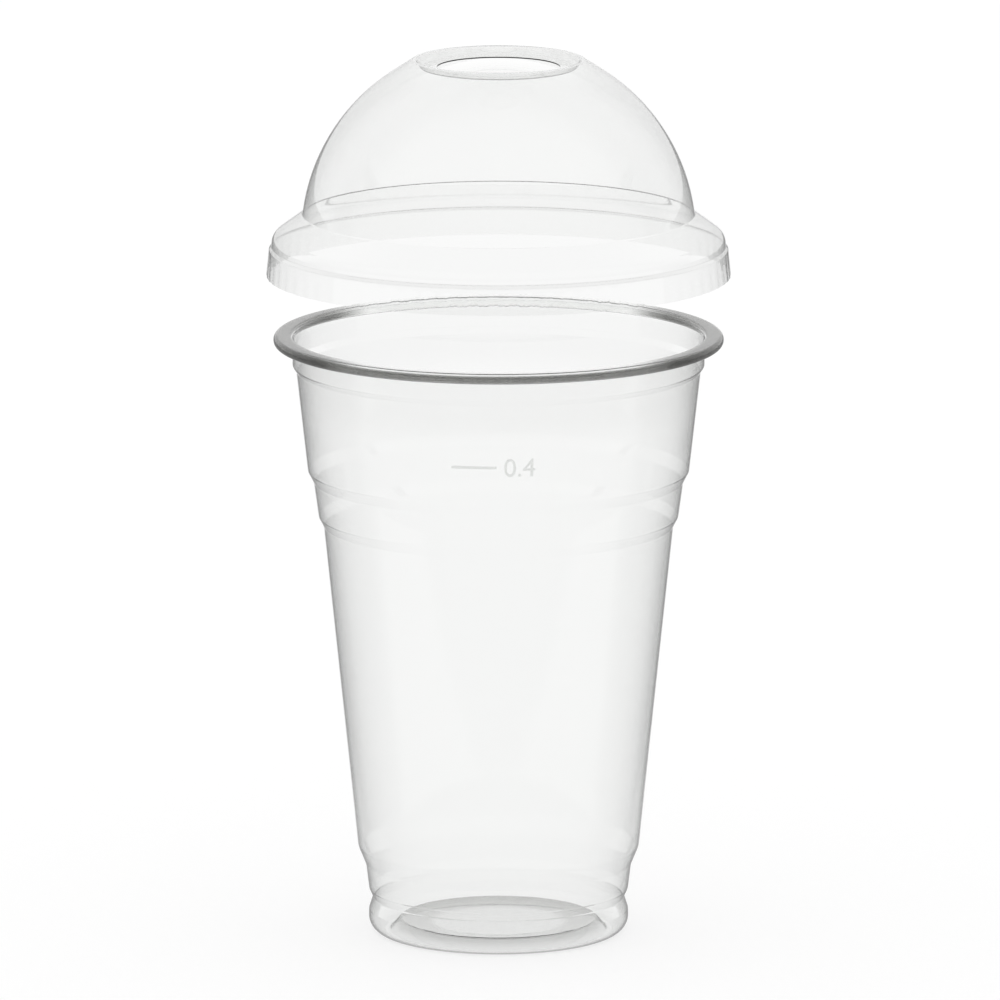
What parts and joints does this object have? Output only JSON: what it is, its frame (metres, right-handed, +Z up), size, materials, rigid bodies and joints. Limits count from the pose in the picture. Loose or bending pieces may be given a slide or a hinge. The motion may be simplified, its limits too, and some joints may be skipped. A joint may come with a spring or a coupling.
{
  "type": "plastic cup with lid",
  "caption": "Clear thermoformed drinking cup with a rolled rim and stepped tapering wall, and a domed lid with a round straw hole that lifts straight off.",
  "frame": {"origin": "on the cup's axis, at the level of the ring that it stands on", "axes": "+Z up along the cup's and the lid's common axis; X and Y level, and alike because both pieces are round"},
  "size_m": [0.0978, 0.0978, 0.1873],
  "materials": {
    "cup_plastic": "clear glossy formed plastic",
    "lid_plastic": "clear glossy formed plastic"
  },
  "bodies": {
    "cup": {"cup": "cup_plastic"},
    "lid": {"dome_lid": "lid_plastic"}
  },
  "joints": [
    {"name": "lid_slide", "type": "slide", "parent": "cup", "child": "lid", "axis": [0, 0, 1], "range_m": [-0.02105, 0.05]}
  ]
}
